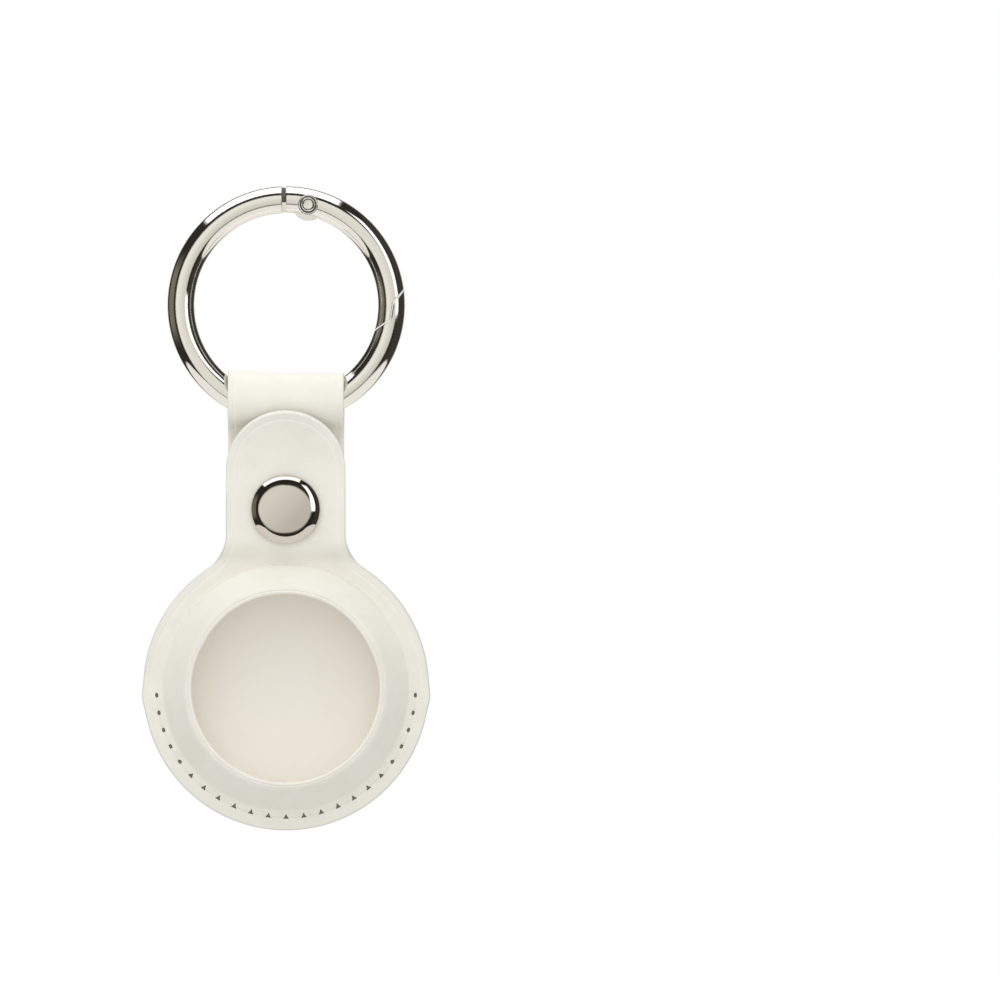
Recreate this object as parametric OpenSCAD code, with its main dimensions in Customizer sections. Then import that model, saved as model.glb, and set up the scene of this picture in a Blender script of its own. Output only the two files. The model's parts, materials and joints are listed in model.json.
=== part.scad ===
// Leather holder for a round tracker tag, hanging from a spring-gate ring.
// The part hangs: +Z is up, the front faces -Y, and the origin is the point
// inside the top of the ring where a hook or a bag's loop carries it.

/* [Ring] */
// Outside diameter of the ring
ring_od = 35; // [32:0.5:40]
// Thickness of the ring's round wire
ring_wire = 4; // [3.6:0.1:4.6]
// Angle of the hinge rivet, counted anticlockwise from the right
hinge_angle = 77.5; // [74:0.5:80]
// How far the rivet lies inside the middle of the wire
hinge_inset = 0.4; // [0.2:0.1:0.6]
// Distance from the rivet to the gate's free tail
gate_tail = 3.25; // [3:0.05:3.6]
// Gap between the gate's tail and the fixed wire
split_gap = 0.65; // [0.5:0.05:0.9]
// Width of the slot in the gate that takes the tongue
slot_w = 1.7; // [1.4:0.1:2]
// Clearance on each side of the tongue in the slot
tongue_gap = 0.1; // [0.06:0.02:0.16]
// Radius of the tongue's round end, which shows under the rivet
knuckle_r = 2.35; // [2:0.05:2.45]
// Gap between the gate and its hook at the latch
latch_gap = 0.12; // [0.08:0.02:0.2]

/* [Rivet] */
// Diameter of the rivet's shank
rivet_d = 1.6; // [1.2:0.1:1.8]
// Diameter of the rivet's heads
rivet_head_d = 2.7; // [2.4:0.1:3]
// Radial clearance of the rivet in the tongue
rivet_running = 0.05; // [0.02:0.01:0.08]
// Radial clearance of the rivet in the gate's cheeks
rivet_seat = 0.02; // [0.01:0.01:0.04]
// How far the front head stands proud of the wire
rivet_proud = 0.25; // [0.15:0.05:0.4]

/* [Gate spring] */
// Outside diameter of the spring in the gate
gate_spring_d = 1.2; // [1:0.05:1.3]
// Thickness of that spring's wire
gate_spring_wire = 0.2; // [0.15:0.05:0.3]
// Length of the spring when the gate is shut
gate_spring_len = 5; // [4:0.25:5.5]
// Turns of the spring
gate_spring_turns = 7; // [5:1:9]

/* [Leather] */
// Thickness of the leather
leather_t = 0.9; // [0.7:0.05:1.1]
// Gap between two layers of leather
layer_gap = 0.1; // [0.06:0.02:0.2]
// Inside diameter of the pressed pocket, which takes the tag
pocket_d = 32.8; // [32.2:0.1:34]
// Width of the flat rim outside the pocket's wall
rim_w = 3.7; // [3.2:0.1:5]
// Width of the lip from the pocket's wall in to the window
lip_w = 2.55; // [2:0.05:4]
// Depth of the pocket in the back panel
pocket_back = 3.4; // [3:0.1:4]
// Depth of the pocket in the front panel
pocket_front = 4.7; // [4.2:0.1:5.2]
// Rounding inside the pocket's rim
pocket_round = 1.4; // [1:0.1:2]
// How far the lip round the window droops
lip_droop = 0.3; // [0.1:0.05:0.5]
// Fillet where the pocket's wall meets the flat rim
rim_fillet = 0.6; // [0.3:0.1:0.9]
// Distance of the pressed line round the window from the window's edge
lip_line_inset = 0.75; // [0.6:0.05:1]

/* [Strap and tab] */
// Width of the strap that holds the ring
strap_w = 16.9; // [15:0.1:18]
// Bare strap between the pocket and the snap's cap
strap_below = 3.25; // [2.8:0.05:6]
// Bare strap between the snap's cap and the hollow under the ring's loop
strap_above = 4.6; // [3.8:0.1:8]
// Radial clearance of the ring in its loop
loop_clear = 0.06; // [0.04:0.01:0.1]
// Radius of the hollow under the loop, where the strap closes
loop_hollow_r = 3; // [2:0.25:4]
// Width of the front tab
tab_w = 17.4; // [15:0.1:18.5]
// From the tab's tip up to the middle of the ring loop
tab_tip_drop = 1.6; // [1:0.2:4]
// Angle by which the flap leans forward from its fold
flap_lean = 3.5; // [3:0.25:5]
// Height of the neck's first bend above the foot of the pocket's wall
neck_start = 0.2; // [0.1:0.05:0.4]
// Angle by which the neck bends forward out of the flap
neck_angle = 38.5; // [37:0.5:42]
// Radius of the neck's two bends, at the back of the leather
neck_r = 3.1; // [3:0.05:3.4]
// Radius of the tab's forward curve above the snap
tip_r = 25; // [22:0.5:27]
// Radius of the curve from the disc into the strap and the tab
neck_fillet = 6.4; // [4:0.2:8]
// How far the folded end of the strap runs down past the snap
fold_tail = 7; // [5.5:0.5:8]
// Distance of the pressed line from the tab's edge
crease_inset = 1.2; // [0.8:0.1:1.8]
// Width of the pressed line
crease_w = 0.45; // [0.3:0.05:0.7]
// Depth of the pressed line
crease_depth = 0.2; // [0.1:0.05:0.3]
// Angle of leather on each side of the fold that bends when the flap opens
bend_angle = 27; // [26:1:30]

/* [Snap] */
// Diameter of the snap's domed caps
cap_d = 10.2; // [9:0.1:11]
// Radius of the caps' shallow dome
cap_dome_r = 11.4; // [9:0.1:14]
// Radius of the caps' rolled edge
cap_edge_r = 1.4; // [1:0.1:1.8]
// Height of the caps' upright rim
cap_rim = 0.15; // [0.1:0.05:0.4]
// Diameter of the posts through the leather
post_d = 2.4; // [2:0.1:2.8]
// Radial clearance round the posts
post_seat = 0.03; // [0.01:0.01:0.06]
// Diameter of the stud's foot
stud_foot_d = 5.4; // [5:0.1:5.8]
// Thickness of the stud's foot
stud_foot_t = 0.3; // [0.2:0.05:0.35]
// Diameter of the stud's round head
stud_head_d = 3.7; // [3.4:0.1:4]
// Thickness of the stud's head
stud_head_t = 0.3; // [0.25:0.05:0.35]
// Room between the stud's head and the floor of the socket
snap_play = 0.25; // [0.2:0.02:0.3]
// Outside diameter of the socket
socket_d = 8; // [7.6:0.1:8.1]
// Diameter of the socket's mouth
socket_bore_d = 4.7; // [4.5:0.1:5]
// Thickness of the socket's floor
socket_foot_t = 0.2; // [0.15:0.05:0.25]
// Thickness of the two spring wires in the socket
socket_wire = 0.3; // [0.25:0.05:0.35]

/* [Stitching] */
// Number of stitches round the lower half
stitches = 22; // [16:1:26]
// Distance of the stitches from the disc's edge
stitch_inset = 1.95; // [1.6:0.05:2.3]
// Angle from the horizontal to the first and the last hole
stitch_start_angle = 3.4; // [2:0.2:10]
// Diameter of the stitch holes
stitch_hole_d = 0.8; // [0.7:0.05:1]
// Thickness of the thread
thread_d = 0.44; // [0.3:0.02:0.5]

/* [Hidden] */
$fn = 96;
cut = 0.5;

// Ring
ring_out_r = ring_od / 2;
ring_mid_r = (ring_od - ring_wire) / 2;
ring_in_r = ring_od / 2 - ring_wire;
ring_z = -ring_in_r;
hinge_r = ring_mid_r - hinge_inset;
hinge_x = hinge_r * cos(hinge_angle);
hinge_z = hinge_r * sin(hinge_angle);
tail_x = hinge_x - gate_tail;
tongue_t = slot_w - 2 * tongue_gap;
wire_half = ring_wire / 2;
roof_share = 0.78;
roof_r = ring_in_r + ring_wire * roof_share;
tongue_top_r = roof_r - 2 * tongue_gap;
knuckle_top_r = roof_r - hinge_r - tongue_gap;
knuckle_drop_share = 0.25;
knuckle_drop = knuckle_r * knuckle_drop_share;
slot_r = knuckle_r + 2 * tongue_gap;
// The latch's stepped line: outer, upper, lower and inner points
latch_angles_share = [7.8, 1.6, -8, -15.6];
latch_depth_share = [1, 0.555, 0.49, 0];
rivet_floor_share = 0.42;
rivet_floor = ring_wire * rivet_floor_share;
rivet_hole_share = 0.68;
rivet_hole_d = rivet_head_d * rivet_hole_share;
// The gate's side of the ring reaches this many times past the wire
region_share = 1.2;

// Gate spring
spring_angle = 18;
spring_offset_share = 0.38;
spring_offset = rivet_d * spring_offset_share;
spring_bore_d = gate_spring_d + 2 * tongue_gap;
spring_start = sqrt(pow(knuckle_r, 2) - pow(spring_offset, 2)) + tongue_gap;
spring_rings = 8;
spring_sides = 6;

// Leather
half_gap = layer_gap / 2;
skin = half_gap + leather_t;
pocket_r = pocket_d / 2;
wall_r = pocket_r + leather_t;
disc_r = wall_r + rim_w;
window_r = pocket_r - lip_w;
pocket_mid_r = pocket_r - pocket_round;
arc_steps = 8;

// Loop round the ring
loop_reach = ring_z - sqrt(pow(ring_in_r, 2) - pow(strap_w / 2, 2));
loop_r = (loop_reach - (ring_z - ring_out_r)) / 2 + loop_clear;
loop_z = (loop_reach + (ring_z - ring_out_r)) / 2;
loop_out_r = loop_r + leather_t;
hollow_y = skin + loop_hollow_r;
hollow_drop = sqrt(pow(loop_out_r + loop_hollow_r, 2) - pow(hollow_y, 2));

// Snap and flap
snap_rise = wall_r + rim_fillet + strap_below + cap_d / 2;
strap_rise = snap_rise + cap_d / 2 + strap_above + hollow_drop;
disc_z = loop_z - strap_rise;
big = ring_od + strap_rise + 2 * disc_r;
snap_z = disc_z + snap_rise;
fold_end = snap_rise - fold_tail;
cap_edge_x = cap_d / 2 - cap_edge_r;
cap_edge_rise = sqrt(pow(cap_dome_r - cap_edge_r, 2) - pow(cap_edge_x, 2));
cap_h = cap_rim + cap_dome_r - cap_edge_rise;

// The back of the flap's leather in the flap's own leaning frame, seen from the
// side: each point is its way forward, its height and its heading from upright
function bend(p, heading, r) =
    let (turn_r = heading > p[2] ? r : -r)
    [
        p[0] + turn_r * (cos(p[2]) - cos(heading)),
        p[1] + turn_r * (sin(heading) - sin(p[2])),
        heading
    ];
function run(p, length) = [p[0] + length * sin(p[2]), p[1] + length * cos(p[2]), p[2]];
function forward(p) = p[0] * cos(flap_lean) + p[1] * sin(flap_lean);
function height(p) = p[1] * cos(flap_lean) - p[0] * sin(flap_lean);
neck_foot = [half_gap, wall_r + rim_fillet + neck_start, 0];
neck_mid = bend(neck_foot, neck_angle, neck_r);
neck_top = bend(neck_mid, -flap_lean, neck_r);
snap_point = run(neck_top, snap_rise - height(neck_top));
tip_foot = run(snap_point, cap_d / 2);
tip_angle = asin((strap_rise - tab_tip_drop - height(tip_foot)) / tip_r);
tip = bend(tip_foot, tip_angle - flap_lean, tip_r);
snap_gap = forward(snap_point) - skin;

// Snap
stud_h = snap_gap - stud_foot_t - socket_foot_t - snap_play;
stud_neck_share = 0.82;
stud_neck_d = stud_head_d * stud_neck_share;
wire_x = (stud_neck_d + socket_wire) / 2 + rivet_running;
wire_lip_share = 0.2;
wire_lip = socket_wire * wire_lip_share;
wire_y = socket_foot_t + snap_play + stud_head_t + rivet_seat + socket_wire / 2;
socket_h = wire_y + socket_wire / 2 + wire_lip;
wire_long_share = 0.7;
wire_long = socket_d * wire_long_share;

// Stitching
thread_seat = 0.02;
stitch_r = disc_r - stitch_inset;
stitch_pitch = (180 - 2 * stitch_start_angle) / stitches;
thread_lift = thread_d / 2 + thread_seat;
thread_top = skin + thread_d + 2 * thread_seat;
thread_post_share = 1.1;

function arc(centre, r, from, to, steps) =
    [for (i = [0 : steps]) let (a = from + (to - from) * i / steps) centre + r * [cos(a), sin(a)]];
function polar(r, a) = r * [cos(a), sin(a)];

// A flat plate between two depths, drawn as seen from the front
module plate(y_low, y_high) {
    translate([0, y_high, 0]) rotate([90, 0, 0]) linear_extrude(y_high - y_low) children();
}

// A slab of a given width, drawn as seen from the side with the back to the right
module side_slab(width) {
    translate([-width / 2, 0, 0]) rotate([90, 0, 90]) linear_extrude(width) children();
}

// A shape turned about a line from front to back; its height points to the front
module turned_front() {
    rotate([90, 0, 0]) rotate_extrude() children();
}

// The same with its height pointing to the back
module turned_back() {
    rotate([-90, 0, 0]) rotate_extrude() children();
}

// A straight pin along Y
module pin_y(r, y_low, y_high) {
    translate([0, y_high, 0]) rotate([90, 0, 0]) cylinder(r = r, h = y_high - y_low);
}

// The whole ring's wire
module wire_ring() {
    rotate([90, 0, 0]) rotate_extrude() translate([ring_mid_r, 0]) circle(r = wire_half);
}

// Points of the latch's stepped line, moved away from the gate by a gap
function latch_radius(i) = ring_in_r + ring_wire * latch_depth_share[i];
function latch_point(i) = polar(latch_radius(i), latch_angles_share[i]);
function latch_line(gap) =
    let (
        p = [for (i = [0 : 3]) latch_point(i)],
        outer = p[0] + (p[0] - p[1]) * 2,
        inner = p[3] + (p[3] - p[2]) * 2
    )
    [for (q = [outer, p[1], p[2], inner]) q + gap * [1, -1]];

// Everything on the gate's side of the split and the latch
module gate_region(tail, gap) {
    wide = (ring_out_r + ring_wire) * region_share;
    line = latch_line(gap);
    polygon(concat(
        [[tail, 0], [tail, wide], [wide, wide], [wide, line[0][1] + ring_wire]],
        line,
        [[0, 0]]
    ));
}

module tongue_outline() {
    intersection() {
        union() {
            difference() {
                intersection() {
                    circle(r = tongue_top_r);
                    translate([tail_x - split_gap - wire_half, 0])
                        square([hinge_x - tail_x + split_gap + wire_half, ring_out_r]);
                }
                circle(r = ring_in_r + tongue_gap);
            }
            translate([hinge_x, hinge_z]) intersection() {
                circle(r = knuckle_r);
                translate([-2 * knuckle_r, -2 * knuckle_r - knuckle_drop])
                    square([4 * knuckle_r, 2 * knuckle_r]);
            }
            translate([hinge_x, hinge_z]) circle(r = knuckle_top_r);
        }
        circle(r = tongue_top_r);
    }
}

module slot_outline() {
    intersection() {
        union() {
            translate([tail_x - split_gap, 0]) square([hinge_x - tail_x + split_gap, ring_out_r]);
            translate([hinge_x, hinge_z]) circle(r = slot_r);
        }
        circle(r = roof_r);
    }
}

// Places its children at the rivet, which runs along Y
module at_hinge() {
    translate([hinge_x, 0, ring_z + hinge_z]) children();
}

module ring_body() {
    color("gainsboro") difference() {
        union() {
            translate([0, 0, ring_z]) difference() {
                wire_ring();
                plate(-ring_wire, ring_wire) gate_region(tail_x - split_gap, latch_gap);
            }
            translate([0, 0, ring_z]) plate(-tongue_t / 2, tongue_t / 2) tongue_outline();
        }
        at_hinge() pin_y(rivet_d / 2 + rivet_running, -ring_wire, ring_wire);
    }
}

module spring_axis() {
    at_hinge() rotate([0, spring_angle, 0]) translate([0, 0, -spring_offset]) rotate([0, 90, 0])
        children();
}

module ring_gate() {
    color("silver") difference() {
        translate([0, 0, ring_z]) intersection() {
            wire_ring();
            plate(-ring_wire, ring_wire) gate_region(tail_x, 0);
        }
        translate([0, 0, ring_z]) plate(-slot_w / 2, slot_w / 2) slot_outline();
        at_hinge() pin_y(rivet_d / 2 + rivet_seat, -ring_wire, ring_wire);
        at_hinge() pin_y(rivet_head_d / 2 + rivet_seat, -ring_wire, -rivet_floor);
        at_hinge() pin_y(rivet_head_d / 2 + rivet_seat, rivet_floor, ring_wire);
        spring_axis() cylinder(d = spring_bore_d, h = spring_start + gate_spring_len + rivet_seat);
    }
}

module hinge_rivet() {
    color("whitesmoke") at_hinge() difference() {
        union() {
            pin_y(rivet_d / 2, -rivet_floor - rivet_seat, rivet_floor + rivet_seat);
            pin_y(rivet_head_d / 2, -wire_half - rivet_proud, -rivet_floor - rivet_seat);
            pin_y(rivet_head_d / 2, rivet_floor + rivet_seat, wire_half - rivet_seat);
        }
        pin_y(rivet_hole_d / 2, -ring_wire, -wire_half + rivet_seat);
    }
}

// One unbroken tube wound into a straight spring
function spring_point(turn, side) =
    let (
        mid_r = (gate_spring_d - gate_spring_wire) / 2,
        a = 360 * turn,
        b = 360 * side / spring_sides,
        rise = (gate_spring_len - gate_spring_wire) / gate_spring_turns,
        r = mid_r + gate_spring_wire / 2 * cos(b)
    )
    [r * cos(a), r * sin(a), gate_spring_wire / 2 * (1 + sin(b)) + rise * turn];

module wound_spring() {
    rings = gate_spring_turns * spring_rings;
    points = [for (i = [0 : rings], k = [0 : spring_sides - 1]) spring_point(i / spring_rings, k)];
    sides = [for (i = [0 : rings - 1], k = [0 : spring_sides - 1])
        let (m = (k + 1) % spring_sides, a = i * spring_sides, b = a + spring_sides)
        for (face = [[a + k, a + m, b + m], [a + k, b + m, b + k]]) face];
    first = [for (k = [1 : spring_sides - 2]) [0, k + 1, k]];
    end = rings * spring_sides;
    last = [for (k = [1 : spring_sides - 2]) [end, end + k, end + k + 1]];
    polyhedron(points = points, faces = concat(sides, first, last));
}

module gate_spring() {
    color("darkgray") spring_axis() translate([0, 0, spring_start]) wound_spring();
}

// How far the drooping lip has fallen at a radius
function lip_fall(r) = lip_droop * (pocket_mid_r - r) / (pocket_mid_r - window_r);

// The pressed line round the window, as radii and depths below the pocket's top
lip_line = [for (k = [1, 0, -1])
    let (r = window_r + lip_line_inset + k * crease_w / 2)
    [r, lip_fall(r) + (k == 0 ? crease_depth : 0)]];

// The pressed pocket's wall from its flat rim to the opening, as seen in section
function pocket_section(depth, opening_r, droop, line) =
    let (
        round_r = pocket_round + leather_t,
        top = depth + leather_t
    )
    concat(
        [[disc_r, 0], [disc_r, leather_t]],
        arc([wall_r + rim_fillet, leather_t + rim_fillet], rim_fillet, 270, 180, arc_steps / 2),
        arc([pocket_mid_r, top - round_r], round_r, 0, 90, arc_steps),
        [for (p = line) [p[0], top - p[1]]],
        [[opening_r, top - droop], [opening_r, depth - droop]],
        arc([pocket_mid_r, depth - pocket_round], pocket_round, 90, 0, arc_steps),
        [[pocket_r, 0]]
    );

// Outline of a strip that grows out of the disc with a curve on each side
module neck_outline(width, top) {
    fillet_x = width / 2 + neck_fillet;
    fillet_z = sqrt(pow(disc_r + neck_fillet, 2) - pow(fillet_x, 2));
    low = atan2(fillet_z, fillet_x);
    inside = polar(disc_r - stitch_inset, low);
    right = concat(
        [inside],
        arc([fillet_x, fillet_z], neck_fillet, 180 + low, 180, arc_steps),
        [[width / 2, top]]
    );
    points = len(right);
    polygon(concat(right, [for (i = [points - 1 : -1 : 0]) [-right[i][0], right[i][1]]]));
}

// The disc's centre
module at_disc() {
    translate([0, 0, disc_z]) children();
}

// The snap on the strap
module at_snap() {
    translate([0, 0, snap_z]) children();
}

// Stitch holes, with their line from front to back
module at_stitches() {
    for (i = [0 : stitches]) {
        p = polar(stitch_r, -stitch_start_angle - stitch_pitch * i);
        at_disc() translate([p[0], 0, p[1]]) children();
    }
}

module stitch_holes() {
    at_stitches() pin_y(stitch_hole_d / 2, -skin - cut, skin + cut);
}

// The loop's wall: a circle round the ring that closes through two hollows
module loop_outline(circle_r, hollow_r, strap_y) {
    meet = atan2(hollow_drop, hollow_y);
    right = concat(
        arc([0, 0], circle_r, 90, -meet, 2 * arc_steps),
        arc([hollow_y, -hollow_drop], hollow_r, 180 - meet, 180, arc_steps),
        [[strap_y, -hollow_drop - leather_t]]
    );
    points = len(right);
    polygon(concat(right, [for (i = [points - 1 : -1 : 1]) [-right[i][0], right[i][1]]]));
}

module ring_loop() {
    translate([0, 0, loop_z]) side_slab(strap_w) difference() {
        loop_outline(loop_out_r, loop_hollow_r, skin);
        loop_outline(loop_r, loop_hollow_r + leather_t, half_gap);
    }
}

module back_panel() {
    strap_top = loop_z - hollow_drop;
    color("linen") difference() {
        union() {
            at_disc() translate([0, half_gap, 0]) turned_back()
                polygon(pocket_section(pocket_back, 0, 0, []));
            at_disc() plate(half_gap, skin) neck_outline(strap_w, strap_top - disc_z);
            ring_loop();
            at_disc() plate(-skin, -half_gap)
                translate([-strap_w / 2, fold_end]) square([strap_w, strap_top - disc_z - fold_end]);
        }
        stitch_holes();
        at_snap() pin_y(post_d / 2 + post_seat, -skin - cut, skin + cut);
    }
}

// The front leather as pressed, before it is cut at the bend
module front_ring() {
    at_disc() translate([0, -half_gap, 0]) turned_front()
        polygon(pocket_section(pocket_front, window_r, lip_droop, lip_line));
}

// Everything above a plane through the fold line, tilted by an angle
module above_fold(angle) {
    at_disc() rotate([-angle, 0, 0]) translate([-big, -big, 0]) cube([2 * big, 2 * big, 2 * big]);
}

module below_fold(angle) {
    at_disc() rotate([-angle, 0, 0]) translate([-big, -big, -2 * big]) cube([2 * big, 2 * big, 2 * big]);
}

module front_panel() {
    color("antiquewhite") difference() {
        intersection() {
            front_ring();
            below_fold(-bend_angle);
        }
        stitch_holes();
    }
}

// Leans the flap's own flat frame forward about the fold line
module leaning() {
    at_disc() rotate([flap_lean, 0, 0]) translate([0, 0, -disc_z]) children();
}

module flap_bend() {
    color("antiquewhite") union() {
        intersection() {
            front_ring();
            below_fold(0);
            above_fold(-bend_angle);
        }
        intersection() {
            leaning() front_ring();
            above_fold(0);
            below_fold(bend_angle);
        }
    }
}

// The neck and the tab with its round end, drawn in by an inset on every side
module tab_outline(inset) {
    end_r = tab_w / 2 - inset;
    translate([0, tip[1] - inset - end_r]) circle(r = end_r);
    translate([-end_r, snap_rise - tab_w / 2])
        square([2 * end_r, tip[1] - inset - end_r - snap_rise + tab_w / 2]);
}

// A layer of the tab's leather between two depths from its back, seen from the side
module tab_layer(y_low, y_high) {
    points = concat(
        [for (i = [0 : arc_steps]) bend(neck_foot, neck_angle * i / arc_steps, neck_r)],
        [for (i = [1 : arc_steps])
            bend(neck_mid, neck_angle - (neck_angle + flap_lean) * i / arc_steps, neck_r)],
        [for (i = [0 : arc_steps]) bend(tip_foot, tip_angle * i / arc_steps - flap_lean, tip_r)],
        [run(tip, leather_t)]
    );
    function side(depth) = [for (p = points) [-p[0] - depth * cos(p[2]), p[1] - depth * sin(p[2])]];
    back = side(y_low);
    front = side(y_high);
    last = len(points) - 1;
    at_disc() side_slab(disc_r) polygon(concat(back, [for (i = [last : -1 : 0]) front[i]]));
}

module tab_sheet() {
    intersection() {
        tab_layer(0, leather_t);
        at_disc() plate(-big, big) {
            neck_outline(tab_w, snap_rise);
            tab_outline(0);
        }
    }
}

module tab_crease() {
    intersection() {
        tab_layer(leather_t - crease_depth, leather_t + cut);
        at_disc() plate(-big, big) difference() {
            tab_outline(crease_inset);
            tab_outline(crease_inset + crease_w);
            translate([-tab_w, 0]) square([2 * tab_w, snap_rise - tab_w / 2 + crease_inset]);
        }
    }
}

// The flap's flat leather and pocket, up to where the neck bends
module flap_ring() {
    intersection() {
        union() {
            front_ring();
            at_disc() plate(-skin, -half_gap) neck_outline(tab_w, snap_rise);
        }
        at_disc() translate([-big, -big, neck_foot[1] - 2 * big]) cube([2 * big, 2 * big, 2 * big]);
    }
}

module front_flap() {
    color("antiquewhite") difference() {
        intersection() {
            leaning() difference() {
                union() {
                    flap_ring();
                    tab_sheet();
                }
                tab_crease();
            }
            above_fold(bend_angle);
        }
        at_flap_snap() pin_y(post_d / 2 + post_seat, -leather_t - cut, cut);
    }
}

// The snap on the tab, at the back of the tab's leather
module at_flap_snap() {
    translate([0, -skin - snap_gap, snap_z]) children();
}

module stitching() {
    chord = 2 * stitch_r * sin(stitch_pitch / 2);
    color("ivory") {
        at_stitches() pin_y(thread_d * thread_post_share / 2, -thread_top, thread_top);
        for (i = [0 : stitches - 1], y = [-skin - thread_lift, skin + thread_lift]) {
            a = -stitch_start_angle - stitch_pitch * (i + 0.5);
            at_disc() rotate([0, -a, 0]) translate([stitch_r * cos(stitch_pitch / 2), y, -chord / 2])
                cylinder(d = thread_d, h = chord);
        }
    }
}

// A domed cap's section with its rolled edge, standing on the leather
module cap_section() {
    dome_x = cap_edge_x * cap_dome_r / (cap_dome_r - cap_edge_r);
    intersection() {
        square([cap_d / 2, cap_h]);
        union() {
            square([cap_d / 2, cap_rim]);
            translate([cap_edge_x, cap_rim]) circle(r = cap_edge_r);
            intersection() {
                translate([0, cap_h - cap_dome_r]) circle(r = cap_dome_r);
                square([dome_x, cap_h]);
            }
        }
    }
}

module back_cap() {
    color("gainsboro") at_snap() {
        translate([0, skin, 0]) turned_back() cap_section();
        pin_y(post_d / 2, -skin - stud_foot_t, skin + cap_rim / 2);
    }
}

module snap_stud() {
    color("silver") at_snap() translate([0, -skin, 0]) turned_front() difference() {
        union() {
            square([stud_foot_d / 2, stud_foot_t]);
            square([stud_neck_d / 2, stud_foot_t + stud_h]);
            translate([0, stud_foot_t + stud_h - stud_head_t]) square([stud_head_d / 2, stud_head_t]);
        }
        square([post_d / 2 + post_seat, stud_foot_t + rivet_seat]);
    }
}

module front_cap() {
    color("gainsboro") at_flap_snap() {
        translate([0, -leather_t, 0]) turned_front() cap_section();
        pin_y(post_d / 2, -leather_t - cap_rim / 2, socket_foot_t / 2);
    }
}

module snap_socket() {
    color("silver") at_flap_snap() difference() {
        turned_back() difference() {
            square([socket_d / 2, socket_h]);
            square([post_d / 2 + post_seat, socket_h]);
            translate([0, socket_foot_t]) square([socket_bore_d / 2, socket_h]);
        }
        socket_wires(rivet_seat);
    }
}

module socket_wires(gap) {
    for (x = [-wire_x, wire_x])
        translate([x, wire_y, -wire_long / 2 - gap])
            cylinder(r = socket_wire / 2 + gap, h = wire_long + 2 * gap);
}

module socket_spring() {
    color("darkgray") at_flap_snap() socket_wires(0);
}

ring_body();
ring_gate();
hinge_rivet();
gate_spring();
back_panel();
front_panel();
flap_bend();
front_flap();
stitching();
back_cap();
snap_stud();
front_cap();
snap_socket();
socket_spring();
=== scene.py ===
import json
import math

import bmesh
import bpy
import numpy as np
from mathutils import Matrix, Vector
from mathutils.geometry import delaunay_2d_cdt


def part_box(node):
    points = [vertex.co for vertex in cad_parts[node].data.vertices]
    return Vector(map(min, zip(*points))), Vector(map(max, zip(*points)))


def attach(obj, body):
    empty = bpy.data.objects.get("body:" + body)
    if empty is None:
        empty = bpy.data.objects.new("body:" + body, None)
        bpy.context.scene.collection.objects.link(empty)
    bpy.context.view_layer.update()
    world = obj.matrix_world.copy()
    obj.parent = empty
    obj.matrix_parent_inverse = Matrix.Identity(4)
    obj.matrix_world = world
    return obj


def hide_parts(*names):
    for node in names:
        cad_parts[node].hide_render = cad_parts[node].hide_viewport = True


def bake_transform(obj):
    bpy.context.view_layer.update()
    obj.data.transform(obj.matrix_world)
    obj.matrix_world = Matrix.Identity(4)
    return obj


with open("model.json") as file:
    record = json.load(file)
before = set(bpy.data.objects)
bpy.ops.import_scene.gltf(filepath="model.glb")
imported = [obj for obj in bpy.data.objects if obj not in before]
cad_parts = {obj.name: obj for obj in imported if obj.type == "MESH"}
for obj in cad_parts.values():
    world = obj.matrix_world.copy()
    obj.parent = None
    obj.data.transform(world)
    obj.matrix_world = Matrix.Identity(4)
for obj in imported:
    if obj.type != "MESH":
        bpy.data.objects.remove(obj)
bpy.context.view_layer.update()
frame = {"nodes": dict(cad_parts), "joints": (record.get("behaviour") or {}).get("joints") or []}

# Places taken from the frame, in millimetres
MM = 0.001
joints = {j["name"]: Vector(j["pos_m"]) / MM for j in frame["joints"]}
disc_z = joints["flap_open"].z
loop_z = joints["ring_swing"].z
back_low, back_high = (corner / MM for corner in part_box("back_panel"))
snap_low, snap_high = (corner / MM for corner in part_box("back_cap"))
cap_low, cap_high = (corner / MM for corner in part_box("front_cap"))
rivet_low, rivet_high = (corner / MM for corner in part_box("hinge_rivet"))
ring_low, ring_high = (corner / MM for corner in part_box("ring_body"))
gate_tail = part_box("ring_gate")[0].x / MM
disc_r = (back_high.x - back_low.x) / 2
ring_r = (ring_high.x - ring_low.x) / 2
cap_r = (snap_high.x - snap_low.x) / 2
snap_rise = (snap_low.z + snap_high.z) / 2 - disc_z
plateau = back_high.y

# Leather
leather_t = 0.9
half_gap = 0.05
mid_depth = half_gap + leather_t / 2
skin_y = half_gap + leather_t
edge_r = 0.28
strap_w = 17.05
tab_w = 17.55
neck_fillet = 6.4
corner_out = 0.25
corner_z = -1.4
corner_w = 1.5

# Pressed pockets, and the circle where they join the flat leather. Their eased lines start
# join_run outside that circle and are kept from join_margin inside it.
pocket_r = 16.4
wall_r = pocket_r + leather_t
join_r = wall_r + 1.25
join_margin = 0.05
join_run = 1
back_slope = 0.5
back_foot = 0.8
back_crown = wall_r - 2.3
back_shoulder = 0.805
back_shoulder_run = 0.2875
back_softness = 1.8
pocket_mouth = [(0.3, 0), (0.1, 0.06), (0, 0.25)]
floor_round = 1.4
bowl = 0.9

# Front pocket, and how far the neck draws it up
front_depth = 5.6
front_crown = 0.35
front_shoulder = 1.1
front_drop = 0.4
front_foot = 0.8
front_softness = 1.2
pull_flat = 0.35
pull_wall = 0.55
pull_w = 1.1
pull_from = 0.45

# Window and the lip round it, with a painted highlight along the lip
window_r = 13.85
window_round = 0.12
lip_drop = 0.25
lip_groove = 0.13
lip_groove_r = window_r + 0.5
lip_groove_w = 0.1
lip_highlight = 0.5

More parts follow.
